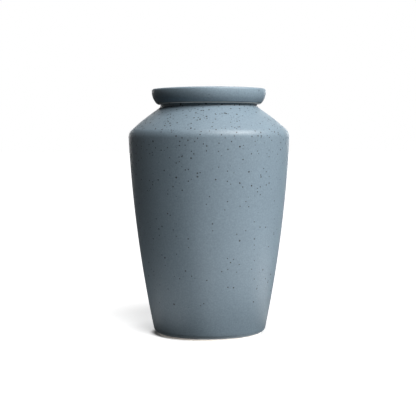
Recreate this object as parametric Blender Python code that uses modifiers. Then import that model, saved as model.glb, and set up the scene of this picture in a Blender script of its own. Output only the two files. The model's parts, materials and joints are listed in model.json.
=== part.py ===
"""A funeral urn: a tapered, turned ceramic vessel with a sloping shoulder, and a cap lid that lifts off.

Units are metres and +Z is up. The origin is the centre of the foot, on the surface that the urn stands on.
Both pieces are turned about the Z axis, so each is one profile of corners (radius, height, fillet).
"""
import math

import bmesh
import bpy
from mathutils import Vector

# Foot and floor of the vessel
FOOT_RADIUS = 0.0533
FOOT_HEIGHT = 0.0018
FOOT_RING_WIDTH = 0.0075
RECESS_DEPTH = 0.0035
FLOOR_THICKNESS = 0.0065

# Wall of the vessel, from the corner at its base to the shoulder
BASE_OVERHANG = 0.0053
BASE_CORNER_RISE = 0.0021
BASE_FILLET = 0.0060
SHOULDER_RADIUS = 0.0848
SHOULDER_HEIGHT = 0.2122
SHOULDER_FILLET = 0.0113
WALL_BULGE = 0.0041
WALL_THICKNESS = 0.0055
FLOOR_FILLET = 0.0120

# Shoulder slope and neck
SHOULDER_RISE = 0.0268
SLOPE_BULGE = 0.0008
NECK_RADIUS = 0.0510
NECK_HEIGHT = 0.0131
NECK_FILLET = 0.0024

# Cap lid
NECK_CLEARANCE = 0.0016
NECK_SHOWN = 0.0022
LID_WALL = 0.0074
LID_THICKNESS = 0.0053
LID_DOME = 0.0023
LID_TOP_FILLET = 0.0021
LID_SIDE_BULGE = 0.0016
SKIRT_EDGE_WIDTH = 0.0028
SKIRT_EDGE_RISE = 0.0018
SKIRT_FILLET = 0.0023
CEILING_FILLET = 0.0012

# Shared by both pieces
EDGE_ROUNDING = 0.0008
FOOT_EDGE_ROUNDING = 0.0004
REST_GAP = 0.0003

# Fineness of the turned shapes
TURN_STEPS = 56
WALL_STEPS = 6
SLOPE_STEPS = 2
RIM_STEPS = 3
DOME_STEPS = 3
ARC_STEP = math.radians(24)

# The most of a side between two corners that one fillet may take up
SHARED_ROOM = 0.49
WHOLE_ROOM = 0.96

# Heights and radii that follow from the sizes above
FLOOR_HEIGHT = RECESS_DEPTH + FLOOR_THICKNESS
BASE_RADIUS = FOOT_RADIUS + BASE_OVERHANG
BASE_CORNER_HEIGHT = FOOT_HEIGHT + BASE_CORNER_RISE
NECK_ROOT_HEIGHT = SHOULDER_HEIGHT + SHOULDER_RISE
LIP_HEIGHT = NECK_ROOT_HEIGHT + NECK_HEIGHT
CEILING_HEIGHT = LIP_HEIGHT + REST_GAP
RIM_HEIGHT = CEILING_HEIGHT + LID_THICKNESS
SKIRT_HEIGHT = NECK_ROOT_HEIGHT + NECK_SHOWN
SKIRT_BORE_RADIUS = NECK_RADIUS + NECK_CLEARANCE
SKIRT_EDGE_RADIUS = SKIRT_BORE_RADIUS + SKIRT_EDGE_WIDTH
LID_RADIUS = SKIRT_BORE_RADIUS + LID_WALL

GLAZE_COLOUR = (0.205, 0.262, 0.308, 1.0)
GLAZE_ROUGHNESS = 0.55


def clear_scene():
    """Removes every object of the scene that the script starts in."""
    for thing in list(bpy.data.objects):
        bpy.data.objects.remove(thing, do_unlink=True)


def bowed(start, end, bulge, steps):
    """Points from start to end, on a parabola that stands bulge to the left of the way at its middle."""
    start, end = Vector(start), Vector(end)
    along = end - start
    left = Vector((-along.y, along.x)).normalized()
    points = []
    for step in range(steps + 1):
        share = step / steps
        points.append(start + along * share + left * 4 * bulge * share * (1 - share))
    return points


def offset(points, distance):
    """The same run of points, moved by distance to the left of the way along them."""
    moved = []
    for index, point in enumerate(points):
        before = points[max(index - 1, 0)]
        after = points[min(index + 1, len(points) - 1)]
        sides = [way.normalized() for way in (point - before, after - point) if way.length > 0]
        normals = [Vector((-way.y, way.x)) for way in sides]
        mitre = sum(normals, Vector((0, 0)))
        moved.append(point + mitre * distance * len(normals) / mitre.length_squared)
    return moved


def corner_arc(before, corner, after, fillet, room_before, room_after):
    """Points of the arc that rounds one corner, kept within the room on its two sides."""
    to_before = (before - corner).normalized()
    to_after = (after - corner).normalized()
    half_angle = to_before.angle(to_after) / 2
    reach = min(fillet / math.tan(half_angle), room_before, room_after)
    radius = reach * math.tan(half_angle)
    centre = corner + (to_before + to_after).normalized() * radius / math.sin(half_angle)
    first = corner + to_before * reach - centre
    turn = first.angle_signed(corner + to_after * reach - centre)
    steps = max(1, math.ceil(abs(turn) / ARC_STEP))
    points = []
    for step in range(steps + 1):
        angle = -turn * step / steps
        turned = Vector((first.x * math.cos(angle) - first.y * math.sin(angle),
                         first.x * math.sin(angle) + first.y * math.cos(angle)))
        points.append(centre + turned)
    return points


def rounded(corners):
    """Turns corners (radius, height, fillet) into profile points, with an arc at each that has a fillet."""
    spots = [Vector((radius, height)) for radius, height, _ in corners]
    fillets = [fillet for _, _, fillet in corners]
    points = []
    for index, spot in enumerate(spots):
        if not fillets[index]:
            points.append(spot)
            continue
        rooms = []
        for neighbour in (index - 1, index + 1):
            share = SHARED_ROOM if fillets[neighbour] else WHOLE_ROOM
            rooms.append((spots[neighbour] - spot).length * share)
        points += corner_arc(spots[index - 1], spot, spots[index + 1], fillets[index], *rooms)
    return points


def with_fillet(points, first=0.0, last=0.0):
    """Corners from a run of points, with fillets at its first and last ones."""
    corners = [(*point, 0.0) for point in points]
    corners[0] = (*points[0], first)
    corners[-1] = (*points[-1], last)
    return corners


def down_to_floor(inner_wall):
    """The inner wall's points that stand above the floor's fillet, and the corner where the wall meets the floor."""
    kept = [point for point in inner_wall if point.y > FLOOR_HEIGHT + FLOOR_FILLET]
    above, below = kept[-1], inner_wall[len(kept)]
    meeting = above + (below - above) * (above.y - FLOOR_HEIGHT) / (above.y - below.y)
    return [*kept, meeting]


def vessel_corners():
    """The vessel's section, from the middle of its floor up the inside, over the lip and down the outside."""
    neck_root = Vector((NECK_RADIUS, NECK_ROOT_HEIGHT))
    shoulder = Vector((SHOULDER_RADIUS, SHOULDER_HEIGHT))
    base = Vector((BASE_RADIUS, BASE_CORNER_HEIGHT))
    slope = bowed(neck_root, shoulder, SLOPE_BULGE, SLOPE_STEPS)
    wall = bowed(shoulder, base, WALL_BULGE, WALL_STEPS)

    outside = [Vector((NECK_RADIUS, LIP_HEIGHT)), *slope, *wall[1:]]
    inside = offset(outside, -WALL_THICKNESS)
    mouth, inner_slope, inner_wall = inside[0], inside[1:SLOPE_STEPS + 1], inside[SLOPE_STEPS + 1:]
    inner_wall = down_to_floor(inner_wall)
    inner_shoulder_fillet = max(SHOULDER_FILLET - WALL_THICKNESS, EDGE_ROUNDING)

    corners = [(0.0, FLOOR_HEIGHT, 0.0)]
    corners += reversed(with_fillet(inner_wall, first=inner_shoulder_fillet, last=FLOOR_FILLET))
    corners += reversed(with_fillet(inner_slope, first=NECK_FILLET + WALL_THICKNESS))
    corners += [(*mouth, EDGE_ROUNDING), (NECK_RADIUS, LIP_HEIGHT, EDGE_ROUNDING)]
    corners += with_fillet(slope[:-1], first=NECK_FILLET)
    corners += with_fillet(wall, first=SHOULDER_FILLET, last=BASE_FILLET)
    corners += [(FOOT_RADIUS, FOOT_HEIGHT, 0.0), (FOOT_RADIUS, 0.0, FOOT_EDGE_ROUNDING)]
    ring_bore = FOOT_RADIUS - FOOT_RING_WIDTH
    corners += [(ring_bore, 0.0, EDGE_ROUNDING), (ring_bore, RECESS_DEPTH, EDGE_ROUNDING), (0.0, RECESS_DEPTH, 0.0)]
    return corners


def lid_corners():
    """The cap lid's section, from the middle of its top out to the rim and back along its underside."""
    corners = []
    for step in range(DOME_STEPS):
        share = step / DOME_STEPS
        corners.append((LID_RADIUS * share, RIM_HEIGHT + LID_DOME * (1 - share ** 2), 0.0))

    rim = (LID_RADIUS, RIM_HEIGHT)
    skirt_edge = (SKIRT_EDGE_RADIUS, SKIRT_HEIGHT + SKIRT_EDGE_RISE)
    side = bowed(rim, skirt_edge, LID_SIDE_BULGE, RIM_STEPS)
    corners += with_fillet(side, first=LID_TOP_FILLET, last=SKIRT_FILLET)
    corners += [(SKIRT_BORE_RADIUS, SKIRT_HEIGHT, EDGE_ROUNDING)]
    corners += [(SKIRT_BORE_RADIUS, CEILING_HEIGHT, CEILING_FILLET), (0.0, CEILING_HEIGHT, 0.0)]
    return corners


def glaze_material(name):
    """A matt blue-grey stoneware glaze."""
    material = bpy.data.materials.new(name)
    material.use_nodes = True
    shader = material.node_tree.nodes["Principled BSDF"]
    shader.inputs["Base Color"].default_value = GLAZE_COLOUR
    shader.inputs["Roughness"].default_value = GLAZE_ROUGHNESS
    shader.inputs["Metallic"].default_value = 0.0
    return material


def turned_piece(name, corners, collection):
    """A closed solid, turned from one profile about the Z axis."""
    shape = bmesh.new()
    verts = [shape.verts.new((point.x, 0.0, point.y)) for point in rounded(corners)]
    for start, end in zip(verts, verts[1:]):
        shape.edges.new((start, end))
    mesh = bpy.data.meshes.new(name)
    shape.to_mesh(mesh)
    shape.free()

    piece = bpy.data.objects.new(name, mesh)
    collection.objects.link(piece)
    mesh.materials.append(glaze_material(name + "_glaze"))

    turn = piece.modifiers.new("Turn", "SCREW")
    turn.axis = "Z"
    turn.angle = math.tau
    turn.steps = TURN_STEPS
    turn.render_steps = TURN_STEPS
    turn.use_merge_vertices = True
    turn.merge_threshold = 0.00001
    turn.use_smooth_shade = True
    return piece


def main():
    clear_scene()
    collection = bpy.data.collections.new("funeral_urn")
    bpy.context.scene.collection.children.link(collection)
    vessel = turned_piece("urn_body", vessel_corners(), collection)
    lid = turned_piece("lid", lid_corners(), collection)
    lid.parent = vessel


main()
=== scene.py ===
"""A funeral urn of matt, speckled stoneware on a white studio floor.

Each piece is turned from the section of the solid that it stands for. Units are metres and +Z is up.
The camera looks along +Y, and +X is the right of the picture.
"""
import json
import math
from collections import defaultdict

import bmesh
import bpy
from mathutils import Matrix, Vector

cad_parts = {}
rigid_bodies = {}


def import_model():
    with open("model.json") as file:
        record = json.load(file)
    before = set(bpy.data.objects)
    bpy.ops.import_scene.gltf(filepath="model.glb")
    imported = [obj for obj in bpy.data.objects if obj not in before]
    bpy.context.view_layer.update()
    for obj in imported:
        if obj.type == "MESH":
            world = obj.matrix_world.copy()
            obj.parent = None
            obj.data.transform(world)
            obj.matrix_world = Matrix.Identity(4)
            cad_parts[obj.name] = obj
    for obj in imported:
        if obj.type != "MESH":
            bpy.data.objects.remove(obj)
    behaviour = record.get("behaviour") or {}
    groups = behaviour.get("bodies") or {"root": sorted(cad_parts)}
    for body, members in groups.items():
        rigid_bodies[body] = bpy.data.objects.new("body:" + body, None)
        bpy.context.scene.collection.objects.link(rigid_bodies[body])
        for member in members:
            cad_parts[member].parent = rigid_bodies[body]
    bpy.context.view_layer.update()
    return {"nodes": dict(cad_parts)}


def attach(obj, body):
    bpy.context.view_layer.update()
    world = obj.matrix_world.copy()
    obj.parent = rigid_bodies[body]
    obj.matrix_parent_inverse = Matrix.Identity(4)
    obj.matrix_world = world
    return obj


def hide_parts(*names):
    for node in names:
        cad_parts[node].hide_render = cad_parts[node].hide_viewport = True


# Picture and camera
PICTURE_WIDTH = 416
FOCAL_PIXELS = 1134.6
SENSOR_WIDTH = 36.0
CAMERA_DISTANCE = 1.1968
CAMERA_HEIGHT = 0.2027
CAMERA_SIDE = -0.0013
CAMERA_TILT = math.radians(3.345)
CAMERA_ROLL = math.radians(-0.2)

# Distance under which two places of a solid are one, and the digits that a place is rounded to
SAME_PLACE = 1e-5
PLACE_DIGITS = 6

# Fineness of the turned pieces, and the turn over which a corner of the section stays sharp
TURN_SEGMENTS = 192
STEP_TURN = math.radians(6)
STEP_LENGTH = 0.006
REAL_CORNER = math.radians(30)

# Texture map, and the share of its height that hidden wall gets against wall that shows from outside
TEXTURE_MAP = "OFBake"
HIDDEN_SHARE = 0.35

# Where the clay is left bare: heights, and a radius just outside the lid's bore
FOOT_GLAZE_LINE = 0.0019
LIP_GLAZE_LINE = 0.2517
SKIRT_GLAZE_LINE = 0.2428
LID_BORE_LINE = 0.0530
LID_CEILING_LINE = 0.2525

# Vertex attribute that holds the bare clay's depth, in millimetres
BARE_CLAY = "bare_clay"
MILLIMETRES = 1000

# Glaze: colour, clouds, grain, gloss, and the orange peel on its surface
GLAZE_COLOUR = (0.203, 0.270, 0.322)
LID_GLAZE_COLOUR = (0.230, 0.304, 0.360)
CLOUD_SIZE = 0.025
CLOUD_LIMITS = (0.95, 1.05)
GRAIN_SIZE = 0.0016
GRAIN_LIMITS = (0.74, 1.26)
GLAZE_IOR = 1.60
GLAZE_ROUGHNESS = (0.46, 0.54)
ROUGHNESS_PATCH = 0.004
PEEL_SIZE = 0.0016
PEEL_DETAIL = 3.0
PEEL_STRENGTH = 0.25
PEEL_DEPTH = 0.00006

# Bare clay
CLAY_COLOUR = (0.80, 0.76, 0.71)
CLAY_ROUGHNESS = 0.85
SAND_SIZE = 0.0007
SAND_DETAIL = 4.0
SAND_LIMITS = (0.90, 1.10)

# Glaze edge and its band of painted shade: widths, blur and waver in millimetres, the waver's size in metres
# The dark band is painted shade, where the glazed surface turns under at the foot and at the lid's skirt
EDGE_SHADE_COLOUR = (0.050, 0.056, 0.062)
FOOT_SHADE_WIDTH = 2.6
SKIRT_SHADE_WIDTH = 0.9
EDGE_BLUR = 0.15
WAVER_SIZE = 0.006
WAVER_LIMITS = (-0.2, 0.2)

# Specks in the glaze
SPECK_COLOUR = (0.016, 0.016, 0.018)
SPECK_CELL = 0.0030
SPECK_RADII = (0.00065, 0.00100)
SPECK_RADIUS_POWER = 3.0
SPECK_BLUR = 0.00020
SPECK_STRENGTHS = (0.7, 1.0)
CLUMP_SIZE = 0.020
CLUMP_LIMITS = (-0.3, 2.3)

# Heights, each with the share of cells that hold a speck there
BODY_SPECKS = ((0.020, 0.0), (0.040, 0.05), (0.060, 0.12), (0.100, 0.09), (0.140, 0.13),
               (0.180, 0.16), (0.196, 0.28), (0.206, 0.40), (0.225, 0.50), (0.240, 0.62))
LID_SPECKS = ((0.240, 0.02), (0.260, 0.02))

# Height that the lights point at. Azimuths are in degrees from the camera's side, positive to the right.
LIGHT_TARGET = 0.12

# Softboxes: azimuth, distance, height and watts
SOFTBOX_SIZE = 0.5
SOFTBOXES = {"key_side": (60, 1.10, 1.10, 19.2),
             "key_front": (28, 1.10, 1.10, 7.2)}

# Distant lights: azimuth, elevation, spread in degrees and strength
SKIES = {"front_fill": (20, 52, 34, 0.90),
         "top_fill": (0, 75, 34, 0.34),
         "back_fill": (180, 30, 34, 0.80),
         "rim_left": (-164, 1, 20, 0.44),
         "rim_right": (163, 1, 20, 0.75)}

# Low cards that stand for the light off the floor: azimuth, distance, size and watts
CARD_HEIGHT = 0.001
CARDS = {"card_far_left": (-90, 0.13, 0.09, 0.014),
         "card_wide_left": (-80, 0.20, 0.14, 0.022),
         "card_left": (-45, 0.13, 0.09, 0.018),
         "card_front": (0, 0.13, 0.09, 0.008),
         "card_near": (0, 0.24, 0.16, 0.098),
         "card_right": (45, 0.24, 0.16, 0.143),
         "card_side": (90, 0.24, 0.16, 0.235),
         "card_far_right": (105, 0.13, 0.09, 0.025)}

# Light that casts the urn's shadow on the floor
FLOOR_KEY_AZIMUTH = 14
FLOOR_KEY_ELEVATION = 52
FLOOR_KEY_SPREAD = 22
FLOOR_KEY_STRENGTH = 2.1

# Colour of the surroundings and of the floor's glow, and how bright each of the two is in the urn's gloss
WHITE = (1.0, 1.0, 1.0, 1.0)
SURROUND_SHINE = 0.30
FLOOR_SHINE = 0.08

# Floor as the camera sees it. A reach is the distances from a centre between which a glow changes.
FLOOR_SIZE = 40.0
FLOOR_COLOUR = 0.80
# Painted shadow: the floor's glow is dimmer near the urn than far from it
SHADED_FLOOR_GLOW = 0.62
FLOOR_GLOW_FAR = 0.78
FLOOR_SHADE_REACH = (0.06, 0.12)
FLOOR_SHADE_CENTRE = (0.0, 0.0, 0.0)

# Share of that glow that is left in the contact shadow, right beside the foot
CONTACT_SHARE = 0.05
CONTACT_REACH = (0.0490, 0.0575)
CONTACT_CENTRE = (-0.0080, 0.0060, 0.0)

# Glow that the floor throws on the urn's foot and base, and that the camera doesn't see on the floor
FOOT_GLOW = 2.9
FOOT_GLOW_REACH = (0.0528, 0.0568)
FOOT_GLOW_CENTRE = (0.0050, -0.0010, 0.0)
BASE_GLOW = 0.60
BASE_GLOW_REACH = (0.054, 0.066)
BASE_GLOW_CENTRE = (0.0050, -0.0030, 0.0)

# Usual detail of a noise, and the places of a Mix node's sockets when it mixes colours
NOISE_DETAIL = 2.0
MIX_SHARE = 0
MIX_COLOURS = (6, 7)
MIX_RESULT = 2


def clear_scene():
    """Removes every object of the scene that the script starts in."""
    for thing in list(bpy.data.objects):
        bpy.data.objects.remove(thing, do_unlink=True)


def section_links(node):
    """The section points (radius, height) on the node's +X side, each with the points it is joined to."""
    shape = bmesh.new()
    shape.from_mesh(node.data)
    bmesh.ops.remove_doubles(shape, verts=shape.verts, dist=SAME_PLACE)
    links = defaultdict(set)
    for edge in shape.edges:
        if all(abs(vert.co.y) < SAME_PLACE and vert.co.x > -SAME_PLACE for vert in edge.verts):
            start, end = [(round(abs(vert.co.x), PLACE_DIGITS), round(vert.co.z, PLACE_DIGITS))
                          for vert in edge.verts]
            links[start].add(end)
            links[end].add(start)
    shape.free()
    return links


def close_flats(links):
    """Joins two open ends of one height across their flat ring, and any other open end to the axis. Returns
    the ends on the axis."""
    loose = [spot for spot, others in links.items() if len(others) == 1]
    ends = []
    for spot in loose:
        level = [other for other in loose if other != spot and abs(other[1] - spot[1]) < SAME_PLACE]
        if level:
            links[spot].add(level[0])
        elif spot[0] < SAME_PLACE:
            ends.append(spot)
        else:
            centre = (0.0, spot[1])
            links[spot].add(centre)
            links[centre].add(spot)
            ends.append(centre)
    return ends


def section_of(node):
    """The node's section from its upper end on the axis to its lower one, with the open side on the left."""
    links = section_links(node)
    spot = max(close_flats(links), key=lambda end: end[1])
    run = [spot]
    while True:
        onward = [other for other in links[spot] if other not in run]
        if not onward:
            return [Vector(point) for point in run]
        spot = onward[0]
        run.append(spot)


def directions(points, index):
    """The way into a section point and the way out of it, which are the same unless it is a real corner. At
    the two ends, on the axis, the section runs level."""
    point = points[index]
    if index == 0:
        return Vector((1, 0)), Vector((1, 0))
    if index == len(points) - 1:
        return Vector((-1, 0)), Vector((-1, 0))
    before = (point - points[index - 1]).normalized()
    after = (points[index + 1] - point).normalized()
    if before.angle(after) > REAL_CORNER:
        return before, after
    through = (points[index + 1] - points[index - 1]).normalized()
    return through, through


def smoothed(points):
    """The section with its arcs and bows rounded out by a cubic curve from each point to the next."""
    finer = []
    for index in range(len(points) - 1):
        start, end = points[index], points[index + 1]
        length = (end - start).length
        leave = directions(points, index)[1]
        arrive = directions(points, index + 1)[0]
        steps = max(math.ceil(leave.angle(arrive) / STEP_TURN), math.ceil(length / STEP_LENGTH), 1)
        for step in range(steps):
            share = step / steps
            rest = 1 - share
            finer.append(start * rest * rest * (1 + 2 * share)
                         + leave * length * share * rest * rest
                         + end * share * share * (3 - 2 * share)
                         - arrive * length * share * share * rest)
    return finer + [points[-1]]


def body_bareness(point):
    """How far a point of the vessel's section lies inside the unglazed foot or lip, in metres."""
    return max(FOOT_GLAZE_LINE - point.y, point.y - LIP_GLAZE_LINE)


def lid_bareness(point):
    """How far a point of the lid's section lies inside its unglazed skirt edge and underside, in metres."""
    return max(SKIRT_GLAZE_LINE - point.y, min(LID_BORE_LINE - point.x, LID_CEILING_LINE - point.y))


def texture_heights(points):
    """Where each section point lies in the texture, from 0 to 1 along the section. Only the run from the
    highest point to the lowest one shows from outside."""
    heights = [point.y for point in points]
    highest = heights.index(max(heights))
    lowest = heights.index(min(heights))
    reach = [0.0]
    for index in range(len(points) - 1):
        share = 1.0 if highest <= index < lowest else HIDDEN_SHARE
        reach.append(reach[-1] + (points[index + 1] - points[index]).length * share)
    return [each / reach[-1] for each in reach]


def add_ring(shape, point):
    """The vertices of the ring that one section point makes, or the single one of a point on the axis."""
    count = 1 if point.x < SAME_PLACE else TURN_SEGMENTS
    ring = []
    for segment in range(count):
        angle = math.tau * segment / TURN_SEGMENTS
        ring.append(shape.verts.new((point.x * math.cos(angle), point.x * math.sin(angle), point.y)))
    return ring


def ring_corners(ring, segment, along):
    """The corners that a face has on a ring, each a vertex with its place around and along the texture."""
    if len(ring) == 1:
        return [(ring[0], segment + 0.5, along)]
    return [(ring[place % TURN_SEGMENTS], place, along) for place in (segment, segment + 1)]


def turned_piece(name, points, bareness):
    """A smooth turned piece, with its unwrap and the depth of its bare clay at each vertex."""
    shape = bmesh.new()
    unwrap = shape.loops.layers.uv.new(TEXTURE_MAP)
    bare = shape.verts.layers.float.new(BARE_CLAY)
    rings = []
    for point in points:
        ring = add_ring(shape, point)
        for vert in ring:
            vert[bare] = bareness(point) * MILLIMETRES
        rings.append(ring)

    heights = texture_heights(points)
    for index, (upper, lower) in enumerate(zip(rings, rings[1:])):
        for segment in range(TURN_SEGMENTS):
            above = ring_corners(upper, segment, heights[index])
            below = ring_corners(lower, segment, heights[index + 1])
            corners = above[:1] + below + above[1:]
            face = shape.faces.new([vert for vert, _, _ in corners])
            face.smooth = True
            for loop, (_, around, along) in zip(face.loops, corners):
                loop[unwrap].uv = (around / TURN_SEGMENTS, along)

    mesh = bpy.data.meshes.new(name)
    shape.to_mesh(mesh)
    shape.free()
    mesh.set_sharp_from_angle(angle=REAL_CORNER)
    piece = bpy.data.objects.new(name, mesh)
    bpy.context.scene.collection.objects.link(piece)
    return piece


def add_node(tree, kind, inputs=None, **settings):
    """A shader node with its settings, and its inputs as values or as the sockets that feed them."""
    node = tree.nodes.new(kind)
    for setting, value in settings.items():
        setattr(node, setting, value)
    for key, value in (inputs or {}).items():
        if isinstance(value, bpy.types.NodeSocket):
            tree.links.new(value, node.inputs[key])
        else:
            node.inputs[key].default_value = value
    return node


def calculate(tree, operation, *values):
    """The result of one Math node."""
    return add_node(tree, "ShaderNodeMath", dict(enumerate(values)), operation=operation).outputs[0]


def ramp_down(tree, value, edge, blur):
    """1 where the value is under the edge, 0 where it is over, and a smooth step of width blur between."""
    inputs = {"Value": value,
              "From Min": calculate(tree, "SUBTRACT", edge, blur / 2),
              "From Max": calculate(tree, "ADD", edge, blur / 2),
              "To Min": 1.0,
              "To Max": 0.0}
    return add_node(tree, "ShaderNodeMapRange", inputs, interpolation_type="SMOOTHSTEP").outputs[0]


def spread(tree, value, low, high):
    """A value from 0 to 1 stretched to run from low to high."""
    inputs = {"Value": value, "To Min": low, "To Max": high}
    return add_node(tree, "ShaderNodeMapRange", inputs, clamp=False).outputs[0]


def noise(tree, place, size, detail=NOISE_DETAIL):
    """Noise from 0 to 1 whose features are about size metres across."""
    inputs = {"Vector": place, "Scale": 1 / size, "Detail": detail}
    return add_node(tree, "ShaderNodeTexNoise", inputs).outputs["Fac"]


def varied(tree, place, size, limits, detail=NOISE_DETAIL):
    """An amount that varies between two limits, in patches about size metres across."""
    return spread(tree, noise(tree, place, size, detail), *limits)


def mixed(tree, share, first, second):
    """Two colours mixed by share, from the first one at 0 to the second one at 1."""
    inputs = {MIX_SHARE: share}
    for socket, colour in zip(MIX_COLOURS, (first, second)):
        inputs[socket] = (*colour, 1.0) if isinstance(colour, tuple) else colour
    return add_node(tree, "ShaderNodeMix", inputs, data_type="RGBA").outputs[MIX_RESULT]


def brightened(tree, colour, amount):
    """A colour multiplied by an amount that varies over the surface."""
    inputs = {0: colour, "Scale": amount}
    return add_node(tree, "ShaderNodeVectorMath", inputs, operation="SCALE").outputs[0]


def speck_density(tree, place, density_stops):
    """The share of cells that hold a speck at each place's height."""
    height = add_node(tree, "ShaderNodeSeparateXYZ", {0: place}).outputs["Z"]
    lowest, highest = density_stops[0][0], density_stops[-1][0]
    level = add_node(tree, "ShaderNodeMapRange", {"Value": height, "From Min": lowest, "From Max": highest})
    ramp = add_node(tree, "ShaderNodeValToRGB", {"Fac": level.outputs[0]})
    stops = ramp.color_ramp.elements
    for stop_height, _ in density_stops[1:-1]:
        stops.new((stop_height - lowest) / (highest - lowest))
    for stop, (_, density) in zip(stops, density_stops):
        stop.color = (density, density, density, 1.0)
    return ramp.outputs["Color"]


def specks(tree, place, density_stops):
    """How strongly a speck covers each place: dots of mixed size and strength, in loose clumps."""
    cells = add_node(tree, "ShaderNodeTexVoronoi", {"Vector": place, "Scale": 1 / SPECK_CELL})
    chances = add_node(tree, "ShaderNodeSeparateColor", {0: cells.outputs["Color"]}).outputs
    clumps = varied(tree, place, CLUMP_SIZE, CLUMP_LIMITS)
    wanted = calculate(tree, "MULTIPLY", speck_density(tree, place, density_stops), clumps)
    present = calculate(tree, "LESS_THAN", chances["Red"], wanted)
    bigness = calculate(tree, "POWER", chances["Green"], SPECK_RADIUS_POWER)
    radius = spread(tree, bigness, *SPECK_RADII)
    distance = calculate(tree, "MULTIPLY", cells.outputs["Distance"], SPECK_CELL)
    dot = ramp_down(tree, distance, radius, SPECK_BLUR)
    strength = spread(tree, chances["Blue"], *SPECK_STRENGTHS)
    return calculate(tree, "MULTIPLY", calculate(tree, "MULTIPLY", dot, present), strength)


def speckled_glaze(tree, place, colour, density_stops):
    """The glaze's colour, with faint clouds, fine grain and dark specks."""
    cloud = varied(tree, place, CLOUD_SIZE, CLOUD_LIMITS)
    grain = varied(tree, place, GRAIN_SIZE, GRAIN_LIMITS)
    glaze = brightened(tree, colour, calculate(tree, "MULTIPLY", cloud, grain))
    return mixed(tree, specks(tree, place, density_stops), glaze, SPECK_COLOUR)


def stoneware(name, glaze_colour, shade_width, density_stops):
    """Matt, speckled glaze with a band of painted shade along its edge, and pale clay where the vertex
    attribute says it is bare.
    """
    material = bpy.data.materials.new(name)
    material.use_nodes = True
    tree = material.node_tree
    shader = tree.nodes["Principled BSDF"]
    place = add_node(tree, "ShaderNodeTexCoord").outputs["Object"]

    depth = add_node(tree, "ShaderNodeAttribute", attribute_name=BARE_CLAY).outputs["Fac"]
    depth = calculate(tree, "ADD", depth, varied(tree, place, WAVER_SIZE, WAVER_LIMITS))
    glazed = ramp_down(tree, depth, 0.0, EDGE_BLUR)
    # Painted shade: a dark band on the glaze along its edge, where the surface turns under
    clear_of_shade = ramp_down(tree, depth, -shade_width / 2, shade_width)

    glaze = speckled_glaze(tree, place, glaze_colour, density_stops)
    glaze = mixed(tree, clear_of_shade, EDGE_SHADE_COLOUR, glaze)
    clay = brightened(tree, CLAY_COLOUR, varied(tree, place, SAND_SIZE, SAND_LIMITS, SAND_DETAIL))
    tree.links.new(mixed(tree, glazed, clay, glaze), shader.inputs["Base Color"])

    glaze_roughness = varied(tree, place, ROUGHNESS_PATCH, GLAZE_ROUGHNESS)
    roughness = spread(tree, glazed, CLAY_ROUGHNESS, glaze_roughness)
    tree.links.new(roughness, shader.inputs["Roughness"])
    shader.inputs["IOR"].default_value = GLAZE_IOR

    peel = noise(tree, place, PEEL_SIZE, PEEL_DETAIL)
    inputs = {"Height": peel, "Strength": PEEL_STRENGTH, "Distance": PEEL_DEPTH}
    bump = add_node(tree, "ShaderNodeBump", inputs)
    tree.links.new(bump.outputs["Normal"], shader.inputs["Normal"])
    return material


def add_turned(node_name, piece_name, bareness, glaze_colour, shade_width, density_stops):
    """Turns a smooth piece from a node's section, gives it its glaze and lets it stand for the node."""
    points = smoothed(section_of(frame["nodes"][node_name]))
    piece = turned_piece(piece_name, points, bareness)
    piece.data.materials.append(stoneware(piece_name, glaze_colour, shade_width, density_stops))
    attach(piece, "root")
    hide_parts(node_name)
    return piece


def fading(tree, place, centre, reach, near, far):
    """An amount that goes from near to far with the distance from a centre."""
    away = add_node(tree, "ShaderNodeVectorMath", {0: place, 1: centre}, operation="DISTANCE")
    inputs = {"Value": away.outputs["Value"],
              "From Min": reach[0],
              "From Max": reach[1],
              "To Min": near,
              "To Max": far}
    return add_node(tree, "ShaderNodeMapRange", inputs, interpolation_type="SMOOTHSTEP").outputs[0]


def floor_material():
    """Matt white with a glow that differs by kind of ray: bright for the camera, but dimmer around the urn
    as painted shadow and dimmer still in the painted contact shadow, faint in the urn's gloss, and thrown on
    the urn only from beside its foot and base."""
    material = bpy.data.materials.new("floor")
    material.use_nodes = True
    tree = material.node_tree
    shader = tree.nodes["Principled BSDF"]
    shader.inputs["Roughness"].default_value = 1.0
    shader.inputs["Specular IOR Level"].default_value = 0.0
    shader.inputs["Emission Color"].default_value = WHITE
    ray = add_node(tree, "ShaderNodeLightPath").outputs
    place = add_node(tree, "ShaderNodeTexCoord").outputs["Object"]
    colour = calculate(tree, "MULTIPLY", ray["Is Camera Ray"], FLOOR_COLOUR)
    tree.links.new(colour, shader.inputs["Base Color"])

    # Painted shadow: the glow that the camera sees fades towards the urn, and nearly out in the contact
    # shadow
    glow = fading(tree, place, FLOOR_SHADE_CENTRE, FLOOR_SHADE_REACH, SHADED_FLOOR_GLOW, FLOOR_GLOW_FAR)
    open_share = fading(tree, place, CONTACT_CENTRE, CONTACT_REACH, CONTACT_SHARE, 1.0)
    glow = calculate(tree, "MULTIPLY", glow, open_share)
    near_foot = fading(tree, place, FOOT_GLOW_CENTRE, FOOT_GLOW_REACH, FOOT_GLOW, 0.0)
    near_base = fading(tree, place, BASE_GLOW_CENTRE, BASE_GLOW_REACH, BASE_GLOW, 0.0)
    bounce = calculate(tree, "ADD", near_foot, near_base)

    seen = calculate(tree, "MULTIPLY", ray["Is Camera Ray"], glow)
    shine = calculate(tree, "MULTIPLY", ray["Is Glossy Ray"], FLOOR_SHINE)
    thrown = calculate(tree, "MULTIPLY", ray["Is Diffuse Ray"], bounce)
    total = calculate(tree, "ADD", calculate(tree, "ADD", seen, shine), thrown)
    tree.links.new(total, shader.inputs["Emission Strength"])
    return material


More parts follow.
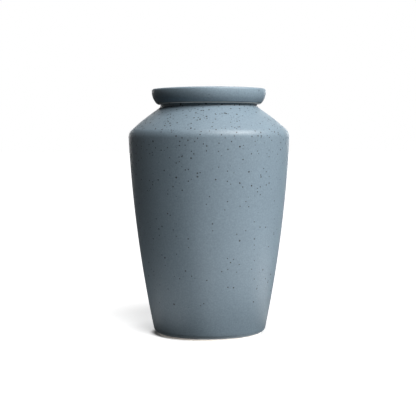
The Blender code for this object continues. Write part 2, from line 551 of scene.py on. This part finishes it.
def add_floor():
    """A plain white floor, which isn't part of the urn."""
    shape = bmesh.new()
    bmesh.ops.create_grid(shape, x_segments=1, y_segments=1, size=FLOOR_SIZE / 2)
    mesh = bpy.data.meshes.new("floor")
    shape.to_mesh(mesh)
    shape.free()
    mesh.materials.append(floor_material())
    floor = bpy.data.objects.new("floor", mesh)
    bpy.context.scene.collection.objects.link(floor)
    return floor


def add_world():
    """White surroundings, which show behind the floor and in the gloss, and light nothing else."""
    world = bpy.data.worlds.new("surroundings")
    world.use_nodes = True
    tree = world.node_tree
    ray = add_node(tree, "ShaderNodeLightPath").outputs
    shine = calculate(tree, "MULTIPLY", ray["Is Glossy Ray"], SURROUND_SHINE)
    total = calculate(tree, "MAXIMUM", ray["Is Camera Ray"], shine)
    background = tree.nodes["Background"]
    tree.links.new(total, background.inputs["Strength"])
    background.inputs["Color"].default_value = WHITE
    bpy.context.scene.world = world


def from_side(azimuth, distance, height):
    """A place at an azimuth, a level distance from the axis and a height."""
    around = math.radians(azimuth)
    return Vector((math.sin(around) * distance, -math.cos(around) * distance, height))


def from_sky(azimuth, elevation, target):
    """A place one metre from a target on the axis, at an azimuth and an elevation."""
    up = math.radians(elevation)
    return from_side(azimuth, math.cos(up), target.z + math.sin(up))


def add_light(name, kind, place, target, energy, size, lit):
    """A soft light, turned towards a target, that falls only on the things in lit and isn't seen itself. Its
    size is a disc's width in metres, or a sun's spread in degrees."""
    light = bpy.data.lights.new(name, kind)
    light.energy = energy
    if kind == "SUN":
        light.angle = math.radians(size)
    else:
        light.shape = "DISK"
        light.size = size
    lamp = bpy.data.objects.new(name, light)
    lamp.location = place
    lamp.rotation_euler = (place - target).to_track_quat("Z", "Y").to_euler()
    lamp.visible_camera = False
    lamp.light_linking.receiver_collection = lit
    bpy.context.scene.collection.objects.link(lamp)


def group(name, things):
    """A collection of things that one set of lights falls on."""
    lit = bpy.data.collections.new(name)
    for thing in things:
        lit.objects.link(thing)
    return lit


def add_lights(urn, floor):
    """Two softboxes on the right, distant fill, faint rim lights and low cards that throw light up, for the
    urn alone, and one light that falls only on the floor."""
    target = Vector((0, 0, LIGHT_TARGET))
    on_urn = group("lit_urn", urn)
    for name, (azimuth, distance, height, watts) in SOFTBOXES.items():
        add_light(name, "AREA", from_side(azimuth, distance, height), target, watts, SOFTBOX_SIZE, on_urn)
    for name, (azimuth, elevation, softness, strength) in SKIES.items():
        add_light(name, "SUN", from_sky(azimuth, elevation, target), target, strength, softness, on_urn)
    for name, (azimuth, distance, size, watts) in CARDS.items():
        place = from_side(azimuth, distance, CARD_HEIGHT)
        add_light(name, "AREA", place, place + Vector((0, 0, 1)), watts, size, on_urn)

    on_floor = group("lit_floor", [floor])
    target = Vector((0, 0, 0))
    place = from_sky(FLOOR_KEY_AZIMUTH, FLOOR_KEY_ELEVATION, target)
    add_light("floor_key", "SUN", place, target, FLOOR_KEY_STRENGTH, FLOOR_KEY_SPREAD, on_floor)


def add_camera():
    """The camera at the photograph's place and tilt."""
    data = bpy.data.cameras.new("camera")
    data.sensor_width = SENSOR_WIDTH
    data.lens = FOCAL_PIXELS * SENSOR_WIDTH / PICTURE_WIDTH
    camera = bpy.data.objects.new("camera", data)
    bpy.context.scene.collection.objects.link(camera)
    turn = Matrix.Rotation(math.pi / 2 - CAMERA_TILT, 4, "X") @ Matrix.Rotation(CAMERA_ROLL, 4, "Z")
    camera.matrix_world = Matrix.Translation((CAMERA_SIDE, -CAMERA_DISTANCE, CAMERA_HEIGHT)) @ turn
    bpy.context.scene.camera = camera


clear_scene()
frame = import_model()
vessel = add_turned("urn_body", "vessel", body_bareness, GLAZE_COLOUR, FOOT_SHADE_WIDTH, BODY_SPECKS)
cap_lid = add_turned("lid", "cap_lid", lid_bareness, LID_GLAZE_COLOUR, SKIRT_SHADE_WIDTH, LID_SPECKS)
floor = add_floor()
add_world()
add_lights([vessel, cap_lid], floor)
add_camera()
bpy.context.scene.view_settings.view_transform = "Standard"
